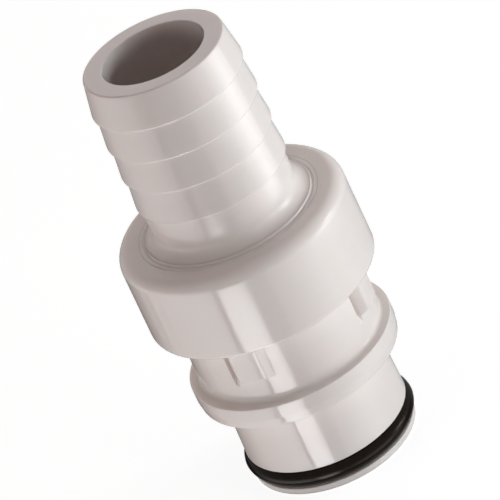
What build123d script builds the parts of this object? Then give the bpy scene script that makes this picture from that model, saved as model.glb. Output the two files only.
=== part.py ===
from build123d import *
import math
import os

# Male half of a quick disconnect coupling for flexible tubing, with its own shut-off valve.
# It stands on the end face of its nose, centred on the Z axis, with the hose barb on top.
# Lengths are millimetres. Radii are measured from the Z axis, heights upwards.

# Nose: the smooth spigot that enters the socket half
nose_height = 13.8
nose_lip_radius = 12.0
nose_lip_height = 1.0
nose_radius = 11.95
nose_root_radius = 11.65
nose_root_round = 0.8
nose_tip_round = 0.24
mouth_lead_in = 0.35

# O-ring on the nose, in its gland
o_ring_section = 2.62
o_ring_outer_radius = 12.53
o_ring_seat_gap = 0.02
gland_side_gap = 0.115
gland_corner_round = 0.15

# Latch flange: its lower band leads in, its flat top is what the latch holds
flange_height = 3.4
flange_radius = 14.8
flange_entry_radius = 14.6
flange_entry_height = 1.4
flange_lower_round = 0.3
flange_upper_round = 0.15

# Neck: the groove that the latch plate drops into
neck_height = 9.9
neck_radius = 13.25
neck_foot_round = 0.5
neck_top_round = 0.3

# Lugs on the neck, which key the half against turning in the latch; the relief is a narrow
# groove along the foot of one flank, so that the mating key seats on the flank
lug_count = 4
lug_rise = 1.05
lug_root_width = 5.6
lug_crest_width = 3.7
lug_root_length = 6.1
lug_crest_length = 5.7
lug_sink = 0.5
lug_round = 0.2
lug_relief_width = 0.6
lug_relief_depth = 0.7
lug_relief_length = 5.1
lug_relief_run_out = 1.9

# Collar: the grip, a cup that takes the hose barb's plug
collar_height = 12.55
collar_radius = 16.47
collar_top_radius = 16.35
collar_floor = 2.4
collar_lower_round = 0.6
collar_upper_round = 1.7

# Flow passage through the body
mouth_radius = 6.4
mouth_land = 1.2
gland_bore_radius = 8.5
nose_bore_radius = 9.7
neck_bore_radius = 10.8
gland_bore_height = 5.0
flange_web = 2.5
bore_corner_round = 0.4

# Hose barb: stem, barbs and mouth
barb_height = 26.35
barb_count = 4
barb_pitch = 5.0
barb_first_drop = 5.2
barb_crest_radius = 10.9
barb_root_radius = 10.36
barb_mouth_radius = 10.0
barb_crest_round = 0.22
barb_mouth_round = 0.2
hose_bore_radius = 7.3

# Foot of the hose barb and the plug welded into the collar
foot_land = 0.85
foot_height = 0.35
foot_flare_round = 1.6
foot_groove_width = 0.35
foot_groove_depth = 0.12
plug_weld_gap = 0.05
plug_wall = 2.1
plug_disc = 3.0
weld_line_chamfer = 0.08
plug_inner_round = 1.0

# Valve guide: a ring, arms and a hub, clamped between the collar floor and the plug
guide_ring_height = 2.0
guide_ring_gap = 0.05
guide_arm_count = 4
guide_arm_width = 1.7
guide_arm_rise = 0.8
guide_seat_drop = 1.5
guide_seat_height = 1.2
guide_seat_radius = 5.6
guide_hub_radius = 3.9
guide_hub_drop = 6.5
guide_hub_rise = 1.0
guide_running_gap = 0.06
hub_round = 0.4

# Valve poppet: a head that closes the nose and a stem that slides in the guide
poppet_travel = 5.5
poppet_recess = 0.5
poppet_mouth_gap = 0.4
poppet_head_radius = 7.7
poppet_head_top = 5.0
poppet_edge_round = 0.3
poppet_boss_radius = 3.9
poppet_boss_height = 2.0
poppet_rib_radius = 3.2
poppet_rib_width = 1.4
poppet_stem_radius = 2.0
poppet_stem_stand_out = 0.5
poppet_stem_chamfer = 0.4
poppet_stop_gap = 0.1

# Seal ring on the poppet, just off its conical seat
seal_section = 1.78
seal_ring_radius = 6.3
seal_seat_gap = 0.04
seal_groove_gap = 0.04
seal_ring_gap = 0.02

# Valve spring: squared ends, one closed turn at each
spring_wire = 0.9
spring_radius = 4.6
spring_open_turns = 6.5
spring_closed_turns = 1.0
spring_end_gap = 0.03
spring_turn_gap = 0.05

# Share of an edge that stays straight where the roundings at its two ends would meet
straight_share = 0.02

# Heights worked out from the lengths above
flange_z = nose_height
neck_z = flange_z + flange_height
collar_z = neck_z + neck_height
collar_top_z = collar_z + collar_height
mouth_z = collar_top_z + barb_height
guide_z = collar_z + collar_floor
plug_z = guide_z + guide_ring_height
disc_z = collar_top_z - plug_disc
hub_z = guide_z - guide_hub_drop
hub_top_z = plug_z + guide_hub_rise
spring_seat_z = guide_z - guide_seat_drop

# The seat is a 45 degree cone from the mouth out to the bore inside the gland
seat_top_z = mouth_land + gland_bore_radius - mouth_radius
seal_z = (mouth_land + seal_ring_radius - mouth_radius
          + (seal_section / 2 + seal_seat_gap) * math.sqrt(2))


def turned(*corners):
    """Ring or disc turned about the Z axis; each corner is (radius, height, rounding)."""
    rounds = []
    for index, (radius, height, rounding) in enumerate(corners):
        before = corners[index - 1]
        after = corners[(index + 1) % len(corners)]
        to_before = Vector(before[0] - radius, before[1] - height)
        to_after = Vector(after[0] - radius, after[1] - height)
        half_turn = math.radians(to_before.get_angle(to_after)) / 2
        room = min(to_before.length, to_after.length) / 2 * math.tan(half_turn)
        rounds.append(min(rounding, room * (1 - straight_share)))
    with BuildPart() as part:
        with BuildSketch(Plane.XZ):
            with BuildLine():
                FilletPolyline(*[corner[:2] for corner in corners], radius=rounds, close=True)
            make_face()
        revolve(axis=Axis.Z)
    return part.part


def ring(section, radius, height):
    """Rubber ring of round section, lying flat around the Z axis."""
    return Pos(0, 0, height) * Torus(radius, section / 2)


def latch_lug():
    """Lug on the -Y side of the neck: drafted sides, a sloping lower end, its top in the collar."""
    top = collar_z + collar_floor / 2
    widening = lug_sink / lug_rise
    sunk_width = lug_root_width + (lug_root_width - lug_crest_width) * widening
    sunk_length = lug_root_length + (lug_root_length - lug_crest_length) * widening
    shapes = ((neck_radius - lug_sink, sunk_width, sunk_length),
              (neck_radius + lug_rise, lug_crest_width, lug_crest_length))
    with BuildPart() as lug:
        for distance, width, length in shapes:
            with BuildSketch(Plane.XZ.offset(distance)):
                with Locations((0, top)):
                    Rectangle(width, length + collar_floor / 2, align=(Align.CENTER, Align.MAX))
        loft()
        crest = lug.faces().sort_by(Axis.Y)[0]
        lower_end = lug.faces().sort_by(Axis.Z)[0]
        edges = crest.edges().sort_by(Axis.Z)[:-1] + lower_end.edges().filter_by(
            lambda edge: abs((edge @ 1 - edge @ 0).Y) > lug_sink)
        fillet(edges, lug_round)
    return lug.part


def lug_relief():
    """Groove along the -X foot of the lug on the -Y side; its floor runs out downwards."""
    floor_radius = neck_radius - lug_relief_depth
    top_radius = neck_radius + lug_rise
    deep_z = collar_z - lug_relief_length
    run_out_z = deep_z - lug_relief_run_out
    with BuildPart() as groove:
        with BuildSketch(Plane.YZ.offset(-(lug_root_width + lug_relief_width) / 2)):
            Polygon((-floor_radius, collar_z),
                    (-floor_radius, deep_z),
                    (-neck_radius, run_out_z),
                    (-top_radius, run_out_z),
                    (-top_radius, collar_z), align=None)
        extrude(amount=lug_relief_width / 2, both=True)
    return groove.part


def insert_body():
    """Moulded body: nose, gland, latch flange, neck with its lugs, and the collar's cup."""
    gland_radius = o_ring_outer_radius - o_ring_section - o_ring_seat_gap
    gland_top = nose_lip_height + o_ring_section + 2 * gland_side_gap
    cup_radius = plug_radius() + plug_weld_gap
    bore_step = neck_bore_radius - nose_bore_radius
    nose_step = nose_bore_radius - gland_bore_radius
    body = turned(
        (mouth_radius + mouth_lead_in, 0, 0),
        (nose_lip_radius, 0, nose_tip_round),
        (nose_lip_radius, nose_lip_height, gland_corner_round),
        (gland_radius, nose_lip_height, gland_corner_round),
        (gland_radius, gland_top, gland_corner_round),
        (nose_radius, gland_top, gland_corner_round),
        (nose_root_radius, flange_z, nose_root_round),
        (flange_entry_radius, flange_z, flange_lower_round),
        (flange_radius, flange_z + flange_entry_height, 0),
        (flange_radius, neck_z, flange_upper_round),
        (neck_radius, neck_z, neck_foot_round),
        (neck_radius, collar_z, neck_top_round),
        (collar_radius, collar_z, collar_lower_round),
        (collar_top_radius, collar_top_z, collar_upper_round),
        (cup_radius + weld_line_chamfer, collar_top_z, 0),
        (cup_radius, collar_top_z - weld_line_chamfer, 0),
        (cup_radius, guide_z, 0),
        (neck_bore_radius, guide_z, bore_corner_round),
        (neck_bore_radius, flange_z + flange_web + bore_step, bore_corner_round),
        (nose_bore_radius, flange_z + flange_web, bore_corner_round),
        (nose_bore_radius, gland_bore_height + nose_step, bore_corner_round),
        (gland_bore_radius, gland_bore_height, bore_corner_round),
        (gland_bore_radius, seat_top_z, 0),
        (mouth_radius, mouth_land, 0),
        (mouth_radius, mouth_lead_in, 0),
    )
    for place in PolarLocations(0, lug_count):
        body += place * latch_lug()
        body -= place * lug_relief()
    return body


def plug_radius():
    """Outside of the hose barb's plug, which stands clear inside the collar's draft and rounding."""
    return neck_bore_radius + plug_wall


def hose_barb():
    """Moulded hose barb: barbs, flared foot, and the plug that closes the collar."""
    outside = []
    for number in range(barb_count):
        crest_z = mouth_z - barb_first_drop - number * barb_pitch
        outside.append((barb_crest_radius, crest_z, barb_crest_round))
        outside.append((barb_root_radius, crest_z, 0))
    outside.reverse()
    foot_radius = plug_radius() - foot_land
    foot_z = collar_top_z + foot_height
    groove_z = collar_top_z - foot_groove_depth
    return turned(
        (plug_radius(), plug_z, 0),
        (plug_radius(), collar_top_z - weld_line_chamfer, 0),
        (plug_radius() - weld_line_chamfer, collar_top_z, 0),
        (foot_radius + foot_groove_width, collar_top_z, 0),
        (foot_radius + foot_groove_width, groove_z, 0),
        (foot_radius, groove_z, 0),
        (foot_radius, foot_z, 0),
        (barb_root_radius, foot_z, foot_flare_round),
        *outside,
        (barb_mouth_radius, mouth_z, barb_mouth_round),
        (hose_bore_radius, mouth_z, 0),
        (hose_bore_radius, disc_z, plug_inner_round),
        (neck_bore_radius, disc_z, plug_inner_round),
        (neck_bore_radius, plug_z, 0),
    )


def valve_guide():
    """Spider that carries the poppet's stem: clamped ring, arms, spring seat and hub."""
    bore_radius = poppet_stem_radius + guide_running_gap
    ring_outer = plug_radius() + plug_weld_gap - guide_ring_gap
    rim = turned(
        (neck_bore_radius, guide_z, 0),
        (ring_outer, guide_z, 0),
        (ring_outer, plug_z, 0),
        (neck_bore_radius, plug_z, 0),
    )
    hub = turned(
        (bore_radius, hub_z, 0),
        (guide_hub_radius, hub_z, hub_round),
        (guide_hub_radius, spring_seat_z, 0),
        (guide_seat_radius, spring_seat_z, hub_round),
        (guide_seat_radius, spring_seat_z + guide_seat_height, hub_round),
        (guide_hub_radius, spring_seat_z + guide_seat_height, 0),
        (guide_hub_radius, hub_top_z, hub_round),
        (bore_radius, hub_top_z, 0),
    )
    hub_middle = (bore_radius + guide_hub_radius) / 2
    rim_middle = (neck_bore_radius + ring_outer) / 2
    with BuildPart() as arm:
        with BuildSketch(Plane.XZ):
            Polygon((hub_middle, spring_seat_z + guide_seat_height / 2),
                    (guide_seat_radius, spring_seat_z + guide_seat_height / 2),
                    (neck_bore_radius, guide_z),
                    (rim_middle, guide_z),
                    (rim_middle, plug_z),
                    (neck_bore_radius, plug_z),
                    (hub_middle, plug_z + guide_arm_rise), align=None)
        extrude(amount=guide_arm_width / 2, both=True)
    guide = rim + hub
    for place in PolarLocations(0, guide_arm_count):
        guide += place * arm.part
    return guide


def valve_poppet():
    """Poppet: head with a groove for its seal, spring boss, ribbed shank with a stop, and stem."""
    groove_radius = seal_ring_radius - seal_section / 2 - seal_ring_gap
    groove_bottom = seal_z - seal_section / 2 - seal_groove_gap
    groove_top = seal_z + seal_section / 2 + seal_groove_gap
    front_radius = mouth_radius - poppet_mouth_gap
    boss_z = poppet_head_top + poppet_boss_height
    stop_z = hub_z - poppet_travel - poppet_stop_gap
    stem_z = hub_top_z + poppet_stem_stand_out
    poppet = turned(
        (0, poppet_recess, 0),
        (front_radius, poppet_recess, poppet_edge_round),
        (front_radius, groove_bottom, 0),
        (groove_radius, groove_bottom, 0),
        (groove_radius, groove_top, 0),
        (poppet_head_radius, groove_top, poppet_edge_round),
        (poppet_head_radius, poppet_head_top, poppet_edge_round),
        (poppet_boss_radius, poppet_head_top, 0),
        (poppet_boss_radius, boss_z, poppet_edge_round),
        (poppet_stem_radius, boss_z, 0),
        (poppet_stem_radius, stem_z - poppet_stem_chamfer, 0),
        (poppet_stem_radius - poppet_stem_chamfer, stem_z, 0),
        (0, stem_z, 0),
    )
    with BuildPart() as shank:
        with BuildSketch(Plane.XY.offset(boss_z - poppet_boss_height / 2)):
            Rectangle(2 * poppet_rib_radius, poppet_rib_width)
            Rectangle(poppet_rib_width, 2 * poppet_rib_radius)
        extrude(amount=stop_z - boss_z + poppet_boss_height / 2)
    return poppet + shank.part


def valve_spring():
    """Compression spring wound from round wire, between the poppet's head and the guide's seat."""
    wire_radius = spring_wire / 2
    bottom = poppet_head_top + spring_end_gap + wire_radius
    top = spring_seat_z - spring_end_gap - wire_radius
    closed_rise = (spring_wire + spring_turn_gap) * spring_closed_turns
    stretches = ((spring_closed_turns, closed_rise),
                 (spring_open_turns, top - bottom - 2 * closed_rise),
                 (spring_closed_turns, closed_rise))
    spring = None
    height = bottom
    turns_before = 0.0
    for turns, rise in stretches:
        path = Helix(pitch=rise / turns, height=rise, radius=spring_radius)
        with BuildPart() as stretch:
            with BuildSketch(Plane(origin=path @ 0, z_dir=path % 0)):
                Circle(wire_radius)
            sweep(path=path, is_frenet=True)
        placed = Pos(0, 0, height) * Rot(0, 0, turns_before * 360) * stretch.part
        spring = placed if spring is None else spring + placed
        height += rise
        turns_before += turns
    return spring


nodes = {
    "insert_body": insert_body(),
    "hose_barb": hose_barb(),
    "nose_o_ring": ring(o_ring_section, o_ring_outer_radius - o_ring_section / 2,
                        nose_lip_height + gland_side_gap + o_ring_section / 2),
    "valve_guide": valve_guide(),
    "valve_poppet": valve_poppet(),
    "poppet_seal": ring(seal_section, seal_ring_radius, seal_z),
    "valve_spring": valve_spring(),
}

os.makedirs("parts", exist_ok=True)
for name, solid in nodes.items():
    export_step(solid, f"parts/{name}.step")
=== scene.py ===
import math

import bmesh
import bpy
from mathutils import Matrix, Vector


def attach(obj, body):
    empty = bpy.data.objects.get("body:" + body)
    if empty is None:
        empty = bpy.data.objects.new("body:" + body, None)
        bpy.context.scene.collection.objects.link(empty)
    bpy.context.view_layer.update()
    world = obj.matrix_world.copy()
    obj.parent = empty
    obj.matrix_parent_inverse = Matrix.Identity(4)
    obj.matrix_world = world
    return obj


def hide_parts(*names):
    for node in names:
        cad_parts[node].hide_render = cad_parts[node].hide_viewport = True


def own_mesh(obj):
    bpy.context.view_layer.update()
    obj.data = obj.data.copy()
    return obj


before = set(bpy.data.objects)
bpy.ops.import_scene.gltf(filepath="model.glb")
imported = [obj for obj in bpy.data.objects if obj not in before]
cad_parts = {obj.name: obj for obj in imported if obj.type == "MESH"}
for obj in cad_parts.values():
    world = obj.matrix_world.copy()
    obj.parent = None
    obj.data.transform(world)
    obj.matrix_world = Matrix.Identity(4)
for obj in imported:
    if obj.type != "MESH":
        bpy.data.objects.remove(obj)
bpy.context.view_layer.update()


# ---------------------------------------------------------------------------------------------
# Insert body: one moulding in natural white plastic, with the end ring, the O-ring gland, the
# nose, the latch flange, the neck and the collar's cup. Its faces are turned; four drafted lugs
# stand on the neck, each with a narrow relief along the foot of one flank.
# ---------------------------------------------------------------------------------------------

MM = 0.001

EDGE_ROUND = 0.15
NOSE_LIP_RADIUS = 12.0
NOSE_LIP_HEIGHT = 1.0
NOSE_LIP_ROUND = 0.24
GLAND_RADIUS = 9.89
GLAND_TOP = 3.85
NOSE_RADIUS = 11.95
NOSE_ROOT_RADIUS = 11.65
NOSE_ROOT_ROUND = 0.8
FLANGE_Z = 13.8
FLANGE_ENTRY_RADIUS = 14.6
FLANGE_ENTRY_TOP = 15.2
FLANGE_ENTRY_ROUND = 0.3
FLANGE_RADIUS = 14.8
FLANGE_ROUND = 0.5
NECK_Z = 17.2
NECK_RADIUS = 13.25
NECK_LOW_ROUND = 0.5
NECK_TOP_ROUND = 0.3
COLLAR_Z = 27.1
COLLAR_RADIUS = 16.47
COLLAR_LOW_ROUND = 0.6
COLLAR_TOP_RADIUS = 16.35
COLLAR_TOP_Z = 39.65
COLLAR_TOP_ROUND = 1.7
CUP_RADIUS = 12.95
CUP_FLOOR_Z = 29.5
WELD_CHAMFER = 0.08
WELD_EDGE_ROUND = 0.05
BORE_ROUND = 0.4
NECK_BORE_RADIUS = 10.8
NECK_BORE_END_Z = 17.4
NOSE_BORE_RADIUS = 9.7
NOSE_BORE_TOP_Z = 16.3
NOSE_BORE_END_Z = 6.2
GLAND_BORE_RADIUS = 8.5
GLAND_BORE_TOP_Z = 5.0
SEAT_TOP_Z = 3.3
SEAT_END_Z = 1.2
MOUTH_RADIUS = 6.4
MOUTH_CHAMFER = 0.35

LUG_COUNT = 4
LUG_RISE = 1.05
LUG_ROOT_HALF = 2.8
LUG_CREST_HALF = 1.85
LUG_ROOT_Z = 21.0
LUG_CREST_Z = 21.4
LUG_SOFTNESS = 0.12
RELIEF_WIDTH = 0.6
RELIEF_DEPTH = 0.7
RELIEF_DEEP_Z = 22.0
RELIEF_END_Z = 20.1
RELIEF_SOFTNESS = 0.08


def rounded(corners, step=10.0, support=0.04):
    """Outline in (radius, height) with each corner's rounding drawn as a fine arc. A point just
    before and after each arc keeps the straight runs flat in the shading."""
    outline = []
    for index, (radius, height, rounding) in enumerate(corners):
        here = Vector((radius, height))
        if rounding == 0:
            outline.append(here)
            continue
        before = (Vector(corners[index - 1][:2]) - here).normalized()
        after = (Vector(corners[index + 1][:2]) - here).normalized()
        half = before.angle(after) / 2
        reach = rounding / math.tan(half)
        centre = here + (before + after).normalized() * (rounding / math.sin(half))
        start = here + before * reach - centre
        turn = start.angle_signed(here + after * reach - centre)
        count = max(3, round(abs(math.degrees(turn)) / step))
        outline.append(centre + start + before * support)
        for number in range(count + 1):
            arm = start.copy()
            arm.rotate(Matrix.Rotation(-turn * number / count, 2))
            outline.append(centre + arm)
        outline.append(here + after * (reach + support))
    return outline


def mesh_object(name, vertices, faces):
    """New object at the world origin from points in millimetres."""
    mesh = bpy.data.meshes.new(name)
    mesh.from_pydata([Vector(v) * MM for v in vertices], [], faces)
    made = bpy.data.objects.new(name, mesh)
    bpy.context.scene.collection.objects.link(made)
    return made


def swept_round(name, outline, angles, closed_turn=True, closed_outline=True, radius_at=None):
    """Surface swept round the Z axis; radius_at may raise it above the turned radius."""
    vertices = []
    for angle in angles:
        for radius, height in outline:
            r = radius_at(radius, height, angle) if radius_at else radius
            vertices.append((r * math.cos(angle), r * math.sin(angle), height))
    rows = len(outline)
    faces = []
    turns = len(angles) if closed_turn else len(angles) - 1
    steps = rows if closed_outline else rows - 1
    for i in range(turns):
        j = (i + 1) % len(angles)
        for k in range(steps):
            n = (k + 1) % rows
            faces.append((i * rows + k, j * rows + k, j * rows + n, i * rows + n))
    return mesh_object(name, vertices, faces)


def settle(piece, sharp=35.0):
    """Merge seams and poles, point the faces outwards and shade smooth except at sharp edges."""
    work = bmesh.new()
    work.from_mesh(piece.data)
    bmesh.ops.remove_doubles(work, verts=work.verts, dist=0.002 * MM)
    bmesh.ops.dissolve_degenerate(work, edges=work.edges, dist=0.0005 * MM)
    bmesh.ops.recalc_face_normals(work, faces=work.faces)
    work.to_mesh(piece.data)
    work.free()
    piece.data.shade_smooth()
    piece.data.set_sharp_from_angle(angle=math.radians(sharp))


def evenly(low, high, count):
    """Values from low to high, both included, with this many equal gaps between them."""
    return [low + (high - low) * number / count for number in range(count + 1)]


def spread(low, high, step):
    """Evenly spaced values from low to high, both included, about this far apart."""
    return evenly(low, high, max(1, round((high - low) / step)))


LUG_ZONE_Z = 18.5
LUG_ZONE_TOP_Z = COLLAR_Z - 0.45
LUG_ZONE_STEP = 0.12

body_below_lugs = rounded([
    (GLAND_BORE_RADIUS, SEAT_TOP_Z, 0),
    (MOUTH_RADIUS, SEAT_END_Z, 0),
    (MOUTH_RADIUS, MOUTH_CHAMFER, 0),
    (MOUTH_RADIUS + MOUTH_CHAMFER, 0, 0),
    (NOSE_LIP_RADIUS, 0, NOSE_LIP_ROUND),
    (NOSE_LIP_RADIUS, NOSE_LIP_HEIGHT, EDGE_ROUND),
    (GLAND_RADIUS, NOSE_LIP_HEIGHT, EDGE_ROUND),
    (GLAND_RADIUS, GLAND_TOP, EDGE_ROUND),
    (NOSE_RADIUS, GLAND_TOP, EDGE_ROUND),
    (NOSE_ROOT_RADIUS, FLANGE_Z, NOSE_ROOT_ROUND),
    (FLANGE_ENTRY_RADIUS, FLANGE_Z, FLANGE_ENTRY_ROUND),
    (FLANGE_RADIUS, FLANGE_ENTRY_TOP, FLANGE_ROUND),
    (FLANGE_RADIUS, NECK_Z, EDGE_ROUND),
    (NECK_RADIUS, NECK_Z, NECK_LOW_ROUND),
    (NECK_RADIUS, LUG_ZONE_Z, 0),
])
lug_zone = [Vector((NECK_RADIUS, z)) for z in spread(LUG_ZONE_Z, LUG_ZONE_TOP_Z, LUG_ZONE_STEP)]
body_above_lugs = rounded([
    (NECK_RADIUS, LUG_ZONE_TOP_Z, 0),
    (NECK_RADIUS, COLLAR_Z, NECK_TOP_ROUND),
    (COLLAR_RADIUS, COLLAR_Z, COLLAR_LOW_ROUND),
    (COLLAR_TOP_RADIUS, COLLAR_TOP_Z, COLLAR_TOP_ROUND),
    (CUP_RADIUS + WELD_CHAMFER, COLLAR_TOP_Z, WELD_EDGE_ROUND),
    (CUP_RADIUS, COLLAR_TOP_Z - WELD_CHAMFER, 0),
    (CUP_RADIUS, CUP_FLOOR_Z, 0),
    (NECK_BORE_RADIUS, CUP_FLOOR_Z, BORE_ROUND),
    (NECK_BORE_RADIUS, NECK_BORE_END_Z, BORE_ROUND),
    (NOSE_BORE_RADIUS, NOSE_BORE_TOP_Z, BORE_ROUND),
    (NOSE_BORE_RADIUS, NOSE_BORE_END_Z, BORE_ROUND),
    (GLAND_BORE_RADIUS, GLAND_BORE_TOP_Z, BORE_ROUND),
    (GLAND_BORE_RADIUS, SEAT_TOP_Z, 0),
])
body_outline = body_below_lugs[:-1] + lug_zone[:-1] + body_above_lugs[:-1]


def smooth_max(a, b, softness):
    """The larger of two heights, with a fillet of about that softness where they cross."""
    share = max(softness - abs(a - b), 0.0) / softness
    return max(a, b) + share * share * softness / 4


def smooth_min(a, b, softness):
    return -smooth_max(-a, -b, softness)


def lug_height(z, across):
    """Height of a lug above the neck; it falls away on both sides and at its lower end."""
    side = LUG_RISE * (LUG_ROOT_HALF - abs(across)) / (LUG_ROOT_HALF - LUG_CREST_HALF)
    end = LUG_RISE * (z - LUG_ROOT_Z) / (LUG_CREST_Z - LUG_ROOT_Z)
    top = smooth_min(LUG_RISE, side, LUG_SOFTNESS * 2)
    return smooth_min(top, end, LUG_SOFTNESS * 2)


def relief_depth(z, across):
    """Depth of the narrow groove along the foot of a lug's left flank."""
    inside = RELIEF_WIDTH / 2 - abs(across + LUG_ROOT_HALF + RELIEF_WIDTH / 2)
    side = inside / RELIEF_SOFTNESS + 0.5
    run_out = (z - RELIEF_END_Z) / (RELIEF_DEEP_Z - RELIEF_END_Z)
    return RELIEF_DEPTH * min(max(side, 0.0), 1.0) * min(max(run_out, 0.0), 1.0)


def body_radius(radius, z, angle):
    """Turned radius; on the neck and its fillets it rises over the quarter's lug, at angle 0."""
    on_neck = abs(radius - NECK_RADIUS) < NECK_LOW_ROUND and NECK_Z < z < COLLAR_Z
    if not on_neck:
        return radius
    across = angle * NECK_RADIUS
    raised = smooth_max(radius, NECK_RADIUS + lug_height(z, across), LUG_SOFTNESS)
    return raised - relief_depth(z, across)


WALL_STEP = 2.0
FLANK_STEP = 0.32
CREST_STEP = 1.4

quarter_degrees = []
for low, high, step in ((-45, -15, WALL_STEP), (-15, -7, FLANK_STEP), (-7, 7, CREST_STEP),
                        (7, 13, FLANK_STEP), (13, 45, WALL_STEP)):
    quarter_degrees += spread(low, high, step)[:-1]
quarter_angles = [math.radians(degrees) for degrees in quarter_degrees + [45]]
body_quarter = swept_round("body_quarter", body_outline, quarter_angles, closed_turn=False,
                           radius_at=body_radius)


class Wire:
    """A socket in a node tree. Arithmetic on wires adds the Math nodes that work it out."""

    def __init__(self, tree, socket):
        self.tree = tree
        self.socket = socket

    def node(self, kind, settings=None, values=None, output=0):
        """Any other node of this tree: its settings first, then its sockets' values or links."""
        made = self.tree.nodes.new(kind)
        for name, value in (settings or {}).items():
            setattr(made, name, value)
        for name, value in (values or {}).items():
            if isinstance(value, Wire):
                self.tree.links.new(value.socket, made.inputs[name])
            else:
                made.inputs[name].default_value = value
        return Wire(self.tree, made.outputs[output])

    def math(self, operation, first, second):
        """One Math node for numbers; colours go through mix, as a Math node turns them grey."""
        return self.node("ShaderNodeMath", {"operation": operation}, {0: first, 1: second})

    def __add__(self, other):
        return self.math("ADD", self, other)

    def __sub__(self, other):
        return self.math("SUBTRACT", self, other)

    def __rsub__(self, other):
        return self.math("SUBTRACT", other, self)

    def __mul__(self, other):
        return self.math("MULTIPLY", self, other)

    __radd__ = __add__
    __rmul__ = __mul__

    def mix(self, low, high):
        """Colour from low to high as this wire goes from 0 to 1."""
        blend = {"data_type": "RGBA", "clamp_factor": True}
        return self.node("ShaderNodeMix", blend, {0: self, 6: low, 7: high}, output=2)

    def into(self, shader, name):
        """Feed this wire to a socket of the shader."""
        self.tree.links.new(self.socket, shader.inputs[name])


def start_rule(name, sizes):
    """Geometry Nodes tree that takes a mesh and the named sizes; gives a wire for each."""
    tree = bpy.data.node_groups.new(name, "GeometryNodeTree")
    tree.interface.new_socket("Mesh", in_out="INPUT", socket_type="NodeSocketGeometry")
    tree.interface.new_socket("Shape", in_out="OUTPUT", socket_type="NodeSocketGeometry")
    for size, value in sizes.items():
        kind = "NodeSocketInt" if isinstance(value, int) else "NodeSocketFloat"
        tree.interface.new_socket(size, in_out="INPUT", socket_type=kind)
    entry = tree.nodes.new("NodeGroupInput")
    return {socket.name: Wire(tree, socket) for socket in entry.outputs if socket.name}


def end_rule(shape, material):
    """Close the tree: real meshes in place of instances, the material, and the way out."""
    real = shape.node("GeometryNodeRealizeInstances", None, {"Geometry": shape})
    dressed = real.node("GeometryNodeSetMaterial", None, {"Geometry": real, "Material": material})
    way_out = shape.tree.nodes.new("NodeGroupOutput")
    shape.tree.links.new(dressed.socket, way_out.inputs["Shape"])
    return shape.tree


def grown(name, seed, material, shape, sizes):
    """Close the rule, run it on the seed mesh and keep the result as a plain mesh."""
    seed.data.materials.append(material)
    tree = end_rule(shape, material)
    modifier = seed.modifiers.new("rule", "NODES")
    modifier.node_group = tree
    for socket in tree.interface.items_tree:
        if socket.in_out == "INPUT" and socket.name in sizes:
            modifier[socket.identifier] = sizes[socket.name]
    graph = bpy.context.evaluated_depsgraph_get()
    mesh = bpy.data.meshes.new_from_object(seed.evaluated_get(graph), depsgraph=graph)
    seed.modifiers.remove(modifier)
    bpy.data.objects.remove(seed)
    mesh.name = name
    made = bpy.data.objects.new(name, mesh)
    bpy.context.scene.collection.objects.link(made)
    return made


def finish_material(name, **constants):
    """New material: its shader with constant values set, and a wire of object coordinates."""
    made = bpy.data.materials.new(name)
    made.use_nodes = True
    shader = made.node_tree.nodes["Principled BSDF"]
    for socket, value in constants.items():
        shader.inputs[socket.replace("_", " ")].default_value = value
    coordinates = made.node_tree.nodes.new("ShaderNodeTexCoord")
    return made, shader, Wire(made.node_tree, coordinates.outputs["Object"])


def natural_plastic(name, light, deep):
    """Moulded natural plastic: milky, faintly clouded, with a soft gloss and a fine orange peel."""
    made, shader, place = finish_material(
        name, IOR=1.49, Subsurface_Weight=0.30, Subsurface_Radius=(1.0, 0.75, 0.68),
        Subsurface_Scale=1.6 * MM, Subsurface_Anisotropy=0.2)
    cloud = place.node("ShaderNodeTexNoise", None,
                       {"Vector": place, "Scale": 45.0, "Detail": 2.0, "Roughness": 0.4})
    tone = cloud.node("ShaderNodeMapRange", None,
                      {"Value": cloud, "From Min": 0.3, "From Max": 0.7})
    tone.mix(deep, light).into(shader, "Base Color")
    scuff = place.node("ShaderNodeTexNoise", None,
                       {"Vector": place, "Scale": 600.0, "Detail": 3.0, "Roughness": 0.6})
    (0.10 + scuff * 0.07).into(shader, "Roughness")
    peel = place.node("ShaderNodeTexNoise", None,
                      {"Vector": place, "Scale": 380.0, "Detail": 1.0})
    grain = place.node("ShaderNodeTexNoise", None,
                       {"Vector": place, "Scale": 3800.0, "Detail": 2.0})
    relief = place.node("ShaderNodeBump", None,
                        {"Strength": 0.07, "Distance": 0.02 * MM, "Height": peel + grain * 0.12})
    relief.into(shader, "Normal")
    return made


body_plastic = natural_plastic("body_plastic", (0.82, 0.75, 0.725, 1), (0.795, 0.72, 0.69, 1))

sizes = {"Quarters": LUG_COUNT, "Quarter turn": 2 * math.pi / LUG_COUNT}
rule = start_rule("quarters_round_the_axis", sizes)
places = rule["Mesh"].node("GeometryNodeMeshLine", None,
                           {"Count": rule["Quarters"], "Offset": (0, 0, 0)})
number = places.node("GeometryNodeInputIndex")
turn = number.node("ShaderNodeCombineXYZ", None, {"Z": number * rule["Quarter turn"]})
quarters = places.node("GeometryNodeInstanceOnPoints", None,
                       {"Points": places, "Instance": rule["Mesh"], "Rotation": turn})
insert_body = grown("insert_body_moulding", body_quarter, body_plastic, quarters, sizes)
settle(insert_body)
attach(insert_body, "insert")
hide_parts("insert_body")


# ---------------------------------------------------------------------------------------------
# Hose barb: one moulding in the same plastic. Four barbs grip the hose; the stem flares into a
# foot, and the plug under it is welded into the collar, which leaves a fine ring on the top.
# ---------------------------------------------------------------------------------------------

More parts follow.
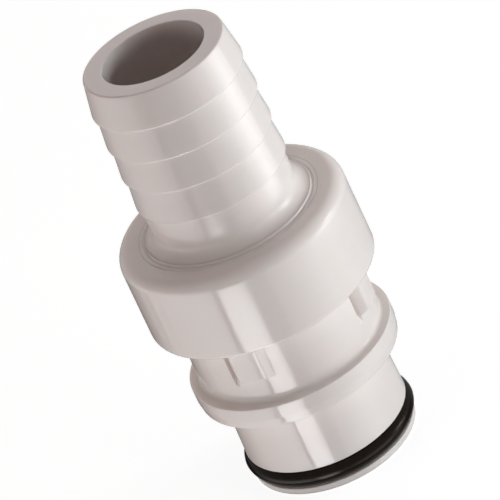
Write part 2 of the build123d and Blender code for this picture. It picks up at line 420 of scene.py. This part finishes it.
BARB_COUNT = 4
BARB_PITCH = 5.0
BARB_CREST_RADIUS = 10.9
BARB_ROOT_RADIUS = 10.36
BARB_MOUTH_RADIUS = 10.0
BARB_MOUTH_ROUND = 0.25
BARB_CREST_ROUND = 0.26
BARB_ROOT_ROUND = 0.08
MOUTH_Z = 66.0
FIRST_CREST_Z = MOUTH_Z - 5.2
FOOT_RADIUS = 12.05
FOOT_Z = COLLAR_TOP_Z + 0.26
FOOT_FLARE_ROUND = 1.55
FOOT_EDGE_ROUND = 0.22
GROOVE_WIDTH = 0.40
GROOVE_SLOPE = 0.10
GROOVE_ROUND = 0.10
GROOVE_Z = COLLAR_TOP_Z - 0.10
PLUG_RADIUS = 12.9
PLUG_Z = 31.5
WELD_Z = COLLAR_TOP_Z - 0.06
WELD_LENGTH = 0.8
DISC_Z = 36.65
DISC_ROUND = 1.0
BORE_RADIUS = 7.3
BORE_MOUTH_ROUND = 0.12
TURN_STEP = 1.5

lowest_crest_z = FIRST_CREST_Z - (BARB_COUNT - 1) * BARB_PITCH
round_angles = [math.radians(degrees) for degrees in spread(0, 360, TURN_STEP)[:-1]]


def barb_step(crest_z):
    """Root and crest of a barb's square step, which faces down."""
    return [(BARB_ROOT_RADIUS, crest_z, BARB_ROOT_ROUND),
            (BARB_CREST_RADIUS, crest_z, BARB_CREST_ROUND)]


def barb_middle(crest_z):
    """Point halfway up a barb's taper, where one barb's band ends and the next one starts."""
    return ((BARB_CREST_RADIUS + BARB_ROOT_RADIUS) / 2, crest_z + BARB_PITCH / 2, 0)


ends_outline = rounded([
    barb_middle(FIRST_CREST_Z - BARB_PITCH),
    *barb_step(FIRST_CREST_Z),
    (BARB_MOUTH_RADIUS, MOUTH_Z, BARB_MOUTH_ROUND),
    (BORE_RADIUS, MOUTH_Z, BORE_MOUTH_ROUND),
    (BORE_RADIUS, DISC_Z, DISC_ROUND),
    (NECK_BORE_RADIUS, DISC_Z, DISC_ROUND),
    (NECK_BORE_RADIUS, PLUG_Z, 0),
    (PLUG_RADIUS, PLUG_Z, 0),
    (PLUG_RADIUS, WELD_Z - WELD_LENGTH, 0),
    (CUP_RADIUS, WELD_Z - WELD_LENGTH + WELD_CHAMFER, 0),
    (CUP_RADIUS, WELD_Z, 0),
    (PLUG_RADIUS - WELD_CHAMFER, COLLAR_TOP_Z, WELD_EDGE_ROUND),
    (FOOT_RADIUS + GROOVE_WIDTH, COLLAR_TOP_Z, GROOVE_ROUND),
    (FOOT_RADIUS + GROOVE_WIDTH - GROOVE_SLOPE, GROOVE_Z, GROOVE_ROUND),
    (FOOT_RADIUS + GROOVE_SLOPE, GROOVE_Z, GROOVE_ROUND),
    (FOOT_RADIUS, FOOT_Z, FOOT_EDGE_ROUND),
    (BARB_ROOT_RADIUS, FOOT_Z, FOOT_FLARE_ROUND),
    *barb_step(lowest_crest_z),
    barb_middle(lowest_crest_z),
])
band_outline = rounded([
    barb_middle(lowest_crest_z),
    *barb_step(lowest_crest_z + BARB_PITCH),
    barb_middle(lowest_crest_z + BARB_PITCH),
])
barb_ends = swept_round("barb_ends", ends_outline, round_angles, closed_outline=False)
barb_band = swept_round("barb_band", band_outline, round_angles, closed_outline=False)
barb_band.data.materials.append(body_plastic)

sizes = {"Bands": BARB_COUNT - 2, "Pitch": BARB_PITCH * MM}
rule = start_rule("barbs_up_the_stem", sizes)
step_up = rule["Pitch"].node("ShaderNodeCombineXYZ", None, {"Z": rule["Pitch"]})
places = step_up.node("GeometryNodeMeshLine", None, {"Count": rule["Bands"], "Offset": step_up})
band = places.node("GeometryNodeObjectInfo", None, {"Object": barb_band, "As Instance": True},
                   output="Geometry")
bands = places.node("GeometryNodeInstanceOnPoints", None, {"Points": places, "Instance": band})
barb = bands.node("GeometryNodeJoinGeometry", None, {"Geometry": bands})
barb.tree.links.new(rule["Mesh"].socket, barb.socket.node.inputs["Geometry"])
hose_barb = grown("hose_barb_moulding", barb_ends, body_plastic, barb, sizes)
bpy.data.objects.remove(barb_band)
settle(hose_barb)
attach(hose_barb, "insert")
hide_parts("hose_barb")


# ---------------------------------------------------------------------------------------------
# Nose O-ring: black nitrile rubber, moulded in a split ring mould that leaves a hair of flash
# round its outside, stretched into the gland and lightly greased.
# ---------------------------------------------------------------------------------------------

O_RING_SECTION = 2.62
O_RING_CENTRE = 11.22
O_RING_Z = 2.425
O_RING_FLASH = 0.03
SECTION_STEP = 7.5


def rubber_ring(name, section, centre, height, flash):
    """Ring of round section with a fine flash line round its outside."""
    outline = []
    for degrees in spread(0, 360, SECTION_STEP)[:-1]:
        turn = math.radians(degrees)
        lift = flash if degrees == 0 else 0.0
        outline.append(Vector((centre + (section / 2 + lift) * math.cos(turn),
                               height + section / 2 * math.sin(turn))))
    made = swept_round(name, outline, round_angles)
    settle(made, sharp=80.0)
    return made


nose_ring = rubber_ring("nose_o_ring_rubber", O_RING_SECTION, O_RING_CENTRE, O_RING_Z,
                        O_RING_FLASH)
seal_rubber, shader, place = finish_material(
    "seal_rubber", IOR=1.45, Specular_IOR_Level=0.24, Specular_Tint=(1.0, 0.90, 0.84, 1))
dust = place.node("ShaderNodeTexNoise", None,
                  {"Vector": place, "Scale": 500.0, "Detail": 5.0, "Roughness": 0.65})
dust.mix((0.0065, 0.0040, 0.0028, 1), (0.013, 0.0085, 0.0062, 1)).into(shader, "Base Color")
(0.17 + dust * 0.16).into(shader, "Roughness")
skin = place.node("ShaderNodeTexNoise", None, {"Vector": place, "Scale": 2600.0, "Detail": 3.0})
relief = place.node("ShaderNodeBump", None,
                    {"Strength": 0.3, "Distance": 0.015 * MM, "Height": skin})
relief.into(shader, "Normal")
nose_ring.data.materials.append(seal_rubber)
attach(nose_ring, "insert")
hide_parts("nose_o_ring")


# ---------------------------------------------------------------------------------------------
# Valve guide: a moulded spider in white acetal, clamped between the collar's floor and the plug.
# Its hub carries the poppet's stem and its round seat takes the spring.
# ---------------------------------------------------------------------------------------------


def acetal(name, light, deep):
    """Dense white bearing plastic: hardly see-through, smooth, with a waxy gloss."""
    made, shader, place = finish_material(
        name, IOR=1.48, Subsurface_Weight=0.15, Subsurface_Radius=(1.0, 0.9, 0.8),
        Subsurface_Scale=0.6 * MM)
    cloud = place.node("ShaderNodeTexNoise", None,
                       {"Vector": place, "Scale": 120.0, "Detail": 2.0, "Roughness": 0.5})
    cloud.mix(deep, light).into(shader, "Base Color")
    (0.22 + cloud * 0.12).into(shader, "Roughness")
    peel = place.node("ShaderNodeTexNoise", None, {"Vector": place, "Scale": 900.0, "Detail": 2.0})
    relief = place.node("ShaderNodeBump", None,
                        {"Strength": 0.08, "Distance": 0.02 * MM, "Height": peel})
    relief.into(shader, "Normal")
    return made


valve_acetal = acetal("valve_plastic", (0.83, 0.81, 0.78, 1), (0.79, 0.765, 0.73, 1))


def dress(node_name, material):
    """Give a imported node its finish; its mesh stays as it is."""
    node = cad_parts[node_name]
    node.data.materials.clear()
    node.data.materials.append(material)


dress("valve_guide", valve_acetal)


# ---------------------------------------------------------------------------------------------
# Valve poppet: moulded in the same acetal. Its head closes the nose, its ribbed shank stops at
# the guide's hub, and its stem slides in the hub.
# ---------------------------------------------------------------------------------------------

dress("valve_poppet", valve_acetal)


# ---------------------------------------------------------------------------------------------
# Poppet seal: a small black O-ring stretched into the groove of the poppet's head, where it
# closes on the cone inside the nose.
# ---------------------------------------------------------------------------------------------

SEAL_SECTION = 1.78
SEAL_CENTRE = 6.3
SEAL_Z = 2.415
SEAL_FLASH = 0.015

poppet_ring = rubber_ring("poppet_seal_rubber", SEAL_SECTION, SEAL_CENTRE, SEAL_Z, SEAL_FLASH)
poppet_ring.data.materials.append(seal_rubber)
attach(poppet_ring, "poppet")
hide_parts("poppet_seal")


# ---------------------------------------------------------------------------------------------
# Valve spring: compression spring cold wound from bright stainless wire, with one closed turn at
# each end. It pushes the poppet shut and is squeezed against the guide as the poppet rises.
# ---------------------------------------------------------------------------------------------

WIRE_SIDES = 16

sizes = {
    "Wire radius": 0.45 * MM,
    "Coil radius": 4.6 * MM,
    "Lowest wire": 5.48 * MM,
    "Closed rise": 0.95 * MM,
    "Open rise": 20.14 * MM,
    "Closed turns": 1.0,
    "Open turns": 6.5,
    "Steps": 408,
}
rule = start_rule("spring_wound_round_the_axis", sizes)
turns = rule["Closed turns"] * 2 + rule["Open turns"]
line = rule["Steps"].node("GeometryNodeCurvePrimitiveLine")
line = line.node("GeometryNodeResampleCurve", {"mode": "COUNT"},
                 {"Curve": line, "Count": rule["Steps"]})
done = line.node("GeometryNodeSplineParameter") * turns
height = rule["Lowest wire"]
first = 0.0
for count, rise in (("Closed turns", "Closed rise"), ("Open turns", "Open rise"),
                    ("Closed turns", "Closed rise")):
    last = rule[count] + first
    part = done.node("ShaderNodeMapRange", None,
                     {"Value": done, "From Min": first, "From Max": last})
    height = height + part * rule[rise]
    first = last
angle = done * (2 * math.pi)
spot = done.node("ShaderNodeCombineXYZ", None, {
    "X": angle.node("ShaderNodeMath", {"operation": "COSINE"}, {0: angle}) * rule["Coil radius"],
    "Y": angle.node("ShaderNodeMath", {"operation": "SINE"}, {0: angle}) * rule["Coil radius"],
    "Z": height})
path = line.node("GeometryNodeSetPosition", None, {"Geometry": line, "Position": spot})
section = path.node("GeometryNodeCurvePrimitiveCircle", None,
                    {"Resolution": WIRE_SIDES, "Radius": rule["Wire radius"]})
wire = path.node("GeometryNodeCurveToMesh", None,
                 {"Curve": path, "Profile Curve": section, "Fill Caps": True})

spring_steel, shader, place = finish_material("spring_steel", Metallic=1.0)
draw = place.node("ShaderNodeTexNoise", None, {"Vector": place, "Scale": 900.0, "Detail": 3.0})
draw.mix((0.50, 0.49, 0.475, 1), (0.62, 0.61, 0.60, 1)).into(shader, "Base Color")
(0.22 + draw * 0.18).into(shader, "Roughness")

spring_seed = mesh_object("spring_seed", [], [])
valve_spring = grown("valve_spring_wire", spring_seed, spring_steel, wire, sizes)
settle(valve_spring)
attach(valve_spring, "insert")
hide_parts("valve_spring")
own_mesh(valve_spring)


# ---------------------------------------------------------------------------------------------
# Camera: a long lens far off, which looks down on the standing half at about 29 degrees and is
# rolled so that the half leans to the left in the picture.
# ---------------------------------------------------------------------------------------------

CAMERA_AZIMUTH = 27.5
CAMERA_ELEVATION = 29.08
CAMERA_ROLL = -25.29
CAMERA_DISTANCE = 600.0
FOCAL_PIXELS = 7.405 * CAMERA_DISTANCE
PICTURE_PIXELS = 500
SENSOR_WIDTH = 36.0
AIM_ACROSS = 0.51
AIM_Z = 32.86

azimuth = math.radians(CAMERA_AZIMUTH)
elevation = math.radians(CAMERA_ELEVATION)
across = Vector((math.cos(azimuth), math.sin(azimuth), 0))
back = Vector((math.sin(azimuth) * math.cos(elevation),
               -math.cos(azimuth) * math.cos(elevation), math.sin(elevation)))
upward = back.cross(across)
roll = math.radians(CAMERA_ROLL)
picture_right = across * math.cos(roll) + upward * math.sin(roll)
picture_up = upward * math.cos(roll) - across * math.sin(roll)
aim = across * AIM_ACROSS + Vector((0, 0, AIM_Z))
camera = bpy.data.objects.new("camera", bpy.data.cameras.new("camera"))
bpy.context.scene.collection.objects.link(camera)
turned = Matrix((picture_right, picture_up, back)).transposed().to_4x4()
camera.matrix_world = Matrix.Translation((aim + back * CAMERA_DISTANCE) * MM) @ turned
camera.data.sensor_width = SENSOR_WIDTH
camera.data.lens = FOCAL_PIXELS / PICTURE_PIXELS * SENSOR_WIDTH
camera.data.clip_start = 0.01
bpy.context.scene.camera = camera


# ---------------------------------------------------------------------------------------------
# Studio: a pale floor and a white surround, soft boxes on all sides, the light that a white table
# sends up, and reflector cards round the half that show only in its gloss.
# ---------------------------------------------------------------------------------------------

FLOOR_HALF = 300.0


def seen_white(tree, lit, white, camera_share, gloss_share):
    """Shader that the camera, and mirror-like rays in part, see as white over the lit shader."""
    path = tree.nodes.new("ShaderNodeLightPath")
    camera_ray = Wire(tree, path.outputs["Is Camera Ray"])
    glossy_ray = Wire(tree, path.outputs["Is Glossy Ray"])
    clear_ray = Wire(tree, path.outputs["Is Transmission Ray"])
    factor = (camera_ray + clear_ray) * camera_share + glossy_ray * gloss_share
    mixed = tree.nodes.new("ShaderNodeMixShader")
    factor.into(mixed, "Fac")
    tree.links.new(lit.outputs[0], mixed.inputs[1])
    tree.links.new(white.outputs[0], mixed.inputs[2])
    return mixed


floor = mesh_object("floor", [(-FLOOR_HALF, -FLOOR_HALF, 0), (FLOOR_HALF, -FLOOR_HALF, 0),
                              (FLOOR_HALF, FLOOR_HALF, 0), (-FLOOR_HALF, FLOOR_HALF, 0)],
                    [(0, 1, 2, 3)])
floor_finish = bpy.data.materials.new("floor_finish")
floor_finish.use_nodes = True
tree = floor_finish.node_tree
lit = tree.nodes["Principled BSDF"]
lit.inputs["Base Color"].default_value = (0.80, 0.78, 0.77, 1)
lit.inputs["Roughness"].default_value = 0.9
lit.inputs["Specular IOR Level"].default_value = 0.0
white = tree.nodes.new("ShaderNodeEmission")
white.inputs["Strength"].default_value = 1.66
mixed = seen_white(tree, lit, white, camera_share=0.55, gloss_share=0.15)
tree.links.new(mixed.outputs[0], tree.nodes["Material Output"].inputs["Surface"])
floor.data.materials.append(floor_finish)

world = bpy.data.worlds.new("surround")
world.use_nodes = True
bpy.context.scene.world = world
tree = world.node_tree
soft = tree.nodes["Background"]
soft.inputs["Color"].default_value = (1.0, 0.93, 0.91, 1)
soft.inputs["Strength"].default_value = 0.04
clear = tree.nodes.new("ShaderNodeBackground")
clear.inputs["Color"].default_value = (1, 1, 1, 1)
mixed = seen_white(tree, soft, clear, camera_share=1.0, gloss_share=0.3)
tree.links.new(mixed.outputs[0], tree.nodes["World Output"].inputs["Surface"])

LAMP_AIM_Z = 33.0
WALL_RADIUS = 14.0
CARD_LEVEL = 0.3
DARK_CARD_LEVEL = 0.2
GLOW_LEVEL = 0.1
CARD_STEPS = 8
GLOW_STEPS = 24
LOW = (1.5, 41)
HIGH = (41, 215)


def around(bearing, distance, height, aside=0.0):
    """Point round the half: bearing is counted from the camera's side, aside is square to it."""
    turn = azimuth + math.radians(bearing)
    return Vector((math.sin(turn) * distance + math.cos(turn) * aside,
                   -math.cos(turn) * distance + math.sin(turn) * aside, height))


def lamp(name, bearing, height, distance, size, power, colour):
    """Rectangular soft box that faces the half and stays out of its gloss."""
    light = bpy.data.lights.new(name, "AREA")
    light.shape = "RECTANGLE"
    light.size, light.size_y = size[0] * MM, size[1] * MM
    light.energy = power
    light.color = colour
    made = bpy.data.objects.new(name, light)
    bpy.context.scene.collection.objects.link(made)
    spot = around(bearing, distance, height)
    toward = Vector((0, 0, LAMP_AIM_Z)) - spot
    made.matrix_world = (Matrix.Translation(spot * MM)
                         @ toward.to_track_quat("-Z", "Y").to_matrix().to_4x4())
    made.visible_camera = False
    made.visible_glossy = False


def lit_card(name, vertices, faces, strength, colour=(1, 1, 1)):
    """Mesh that glows evenly and is seen by nothing but the gloss."""
    made = mesh_object(name, vertices, faces)
    glow = bpy.data.materials.new(name)
    glow.use_nodes = True
    tree = glow.node_tree
    tree.nodes.remove(tree.nodes["Principled BSDF"])
    emission = tree.nodes.new("ShaderNodeEmission")
    emission.inputs["Strength"].default_value = strength
    emission.inputs["Color"].default_value = (*colour, 1)
    tree.links.new(emission.outputs[0], tree.nodes["Material Output"].inputs["Surface"])
    made.data.materials.append(glow)
    made.visible_camera = False
    made.visible_diffuse = False
    made.visible_shadow = False
    made.visible_transmission = False
    return made


def strip_faces(steps):
    """Faces of a strip between an inner and an outer row of points; they face up."""
    return [(k + steps + 1, k + steps + 2, k + 1, k) for k in range(steps)]


def card(name, turns, heights, strength, level=CARD_LEVEL):
    """Card on the floor that upright walls mirror towards the camera: between these turns from
    the camera's side, and between these heights on the wall."""
    vertices = []
    for height in heights:
        reach = height / math.tan(elevation)
        for turn in evenly(*turns, CARD_STEPS):
            vertices.append(around(turn, WALL_RADIUS, level) + around(2 * turn, reach, 0))
    lit_card(name, vertices, strip_faces(CARD_STEPS), strength)


def standing_card(name, bearing, distance, half_width, heights, strength):
    """Card that stands upright and faces the axis."""
    vertices = [around(bearing, distance, height, aside)
                for height in heights for aside in (-half_width, half_width)]
    lit_card(name, vertices, [(0, 1, 3, 2)], strength)


def table_glow(name, bearings, strength, colour):
    """Light that a white table top sends up to the half between these bearings. It glows upwards
    only, so that the floor under it stays as it is."""
    vertices = [around(bearing, radius, GLOW_LEVEL)
                for radius in (NOSE_LIP_RADIUS + 0.2, FLOOR_HALF * 1.45)
                for bearing in evenly(*bearings, GLOW_STEPS)]
    made = lit_card(name, vertices, strip_faces(GLOW_STEPS), strength, colour)
    made.visible_glossy = False
    made.visible_diffuse = True
    tree = made.active_material.node_tree
    side = tree.nodes.new("ShaderNodeNewGeometry")
    upwards = strength - Wire(tree, side.outputs["Backfacing"]) * strength
    upwards.into(tree.nodes["Emission"], "Strength")


lamp("soft_box_right", 50, 30, 420, (300, 240), 1.27, (0.965, 0.988, 0.982))
lamp("soft_box_far_right", 95, 40, 420, (170, 240), 1.45, (0.90, 1.01, 1.04))
lamp("soft_box_left", -85, 60, 420, (300, 240), 0.78, (1.02, 0.965, 0.94))
lamp("soft_box_top", 0, 460, 5, (260, 260), 0.26, (1.10, 0.90, 0.90))
lamp("soft_box_back", 150, 330, 330, (260, 260), 0.15, (1.0, 0.93, 0.90))
lamp("soft_box_low_back", 180, 170, 420, (300, 200), 0.60, (0.95, 0.99, 0.96))
table_glow("table_glow_left", (-180, -35), 0.72, (1.0, 0.985, 0.98))
table_glow("table_glow_front", (-35, 35), 0.68, (0.98, 0.99, 1.01))
table_glow("table_glow_right", (35, 180), 0.40, (1.0, 0.985, 0.98))

card("dark_card", (-90, 90), (0.1, 220), 0.0, DARK_CARD_LEVEL)
card("strip_card", (-20.8, -9.5), LOW, 7.4)
card("strip_card_edge", (-9.5, -6.8), LOW, 5.8)
card("streak_card", (-16.8, -11.8), (41.5, 90), 1.6)
standing_card("mouth_card", 180, 50, 12, (82, 106), 1.35)
standing_card("edge_card", 84, 420, 60, (45, 105), 9.0)
for number, (left, right, low, high) in enumerate((
        (-90, -68, 0.0, 0.2), (-68, -60, 0.35, 0.6), (-60, -52, 1.1, 1.2), (-52, -44, 1.8, 1.8),
        (-44, -36, 2.5, 2.2), (-36, -30, 3.2, 2.3), (-30, -23.4, 3.2, 1.4),
        (-6.8, 4, 0.9, 0.1), (4, 12, 1.7, 1.0), (12, 20, 2.0, 1.2), (20, 28, 2.1, 1.6),
        (28, 35, 2.0, 3.0), (35, 45, 1.0, 4.4), (45, 51, 0.2, 2.4), (68, 90, 0.25, 0.3))):
    card("low_card_%02d" % number, (left, right), LOW, low)
    card("high_card_%02d" % number, (left, right), HIGH, high)

bpy.context.scene.view_settings.view_transform = "Standard"
